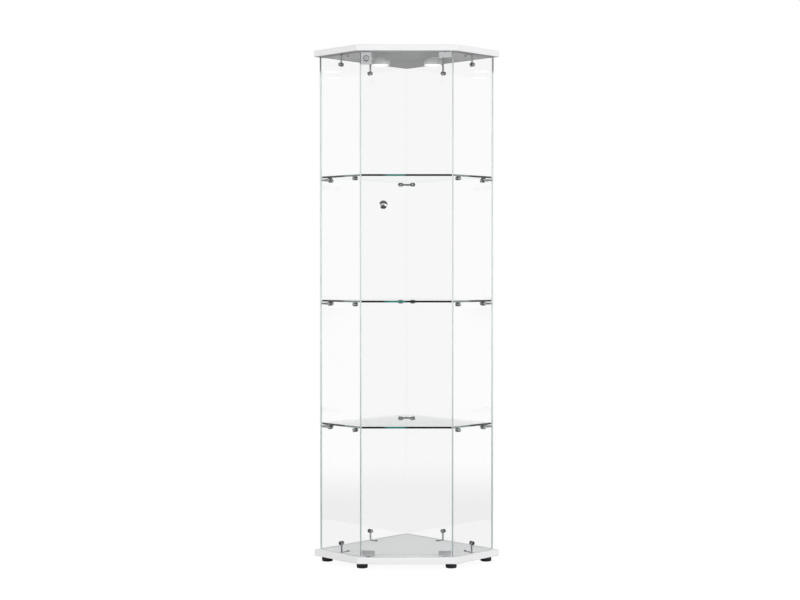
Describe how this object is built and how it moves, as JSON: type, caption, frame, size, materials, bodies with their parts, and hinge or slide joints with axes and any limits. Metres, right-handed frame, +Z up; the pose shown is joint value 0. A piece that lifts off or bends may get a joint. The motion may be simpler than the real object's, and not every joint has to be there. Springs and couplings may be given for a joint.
{
  "type": "corner display cabinet",
  "caption": "Glass corner display cabinet: pale floor and roof boards, clamped glass panels and shelves, a hinged glass door with a lock and a ball knob, and lamps under the roof.",
  "frame": {"origin": "on the floor, at the centre of the bounding box in X and Y", "axes": "+X to the viewer's right, +Y from the door to the room corner, +Z up"},
  "size_m": [0.5932, 0.4562, 1.64],
  "materials": {
    "white_laminate": "smooth white melamine on board, softly rounded edges",
    "clear_glass": "clear toughened float glass with polished green edges",
    "black_plastic": "moulded, matt",
    "chrome": "polished chrome plating",
    "satin_steel": "satin nickel-plated steel",
    "rubber": "soft, matt",
    "nylon": "natural nylon",
    "magnet": "ground ferrite",
    "lamp_diffuser": "opal diffuser",
    "led_board": "white solder mask",
    "grey_lacquer": "satin silver-grey lacquer"
  },
  "bodies": {
    "cabinet": {"back_glass_left": "clear_glass", "back_glass_right": "clear_glass", "board_screws": "satin_steel", "bottom_board": "white_laminate", "bracket_bottom_back_left": "satin_steel", "bracket_bottom_back_right": "satin_steel", "bracket_bottom_side_left": "satin_steel", "bracket_bottom_side_right": "satin_steel", "bracket_top_back_left": "satin_steel", "bracket_top_back_right": "satin_steel", "bracket_top_side_left": "satin_steel", "bracket_top_side_right": "satin_steel", "catch_holder": "black_plastic", "catch_magnet": "magnet", "clamp_bolts": "satin_steel", "clamp_caps_inner": "chrome", "clamp_caps_outer": "chrome", "foot_front_left": "black_plastic", "foot_front_right": "black_plastic", "foot_rear": "black_plastic", "foot_screws": "satin_steel", "foot_side_left": "black_plastic", "foot_side_right": "black_plastic", "hinge_bushes": "nylon", "hinge_plates": "satin_steel", "lamp_housing_left": "grey_lacquer", "lamp_housing_right": "grey_lacquer", "lamp_led_units": "led_board", "lamp_lenses": "lamp_diffuser", "lock_strike": "satin_steel", "shelf_bracket_lower_left": "satin_steel", "shelf_bracket_lower_right": "satin_steel", "shelf_bracket_middle_left": "satin_steel", "shelf_bracket_middle_right": "satin_steel", "shelf_bracket_upper_left": "satin_steel", "shelf_bracket_upper_right": "satin_steel", "shelf_brackets_rear": "satin_steel", "shelf_lower": "clear_glass", "shelf_middle": "clear_glass", "shelf_pins": "chrome", "shelf_upper": "clear_glass", "side_glass_left": "clear_glass", "side_glass_right": "clear_glass", "top_board": "white_laminate"},
    "door": {"door_glass": "clear_glass", "hinge_clip_top": "satin_steel", "hinge_clip_bottom": "satin_steel", "hinge_pins": "satin_steel", "catch_clip": "satin_steel", "clip_liners": "rubber", "clip_grub_screws": "satin_steel", "lock_plate": "satin_steel", "lock_housing": "chrome", "lock_nut": "satin_steel", "knob": "chrome", "knob_washers": "rubber", "knob_screw": "satin_steel"},
    "lock_plug": {"lock_plug": "satin_steel", "lock_cam": "satin_steel", "lock_cam_screw": "satin_steel"}
  },
  "joints": [
    {"name": "door_hinge", "type": "hinge", "parent": "cabinet", "child": "door", "pos_m": [0.13501, -0.19538, 0.8285], "axis": [0, 0, 1], "range_deg": [0, 170]},
    {"name": "lock_turn", "type": "hinge", "parent": "door", "child": "lock_plug", "pos_m": [-0.12601, -0.19538, 1.597], "axis": [0, -1, 0], "range_deg": [0, 90]}
  ]
}
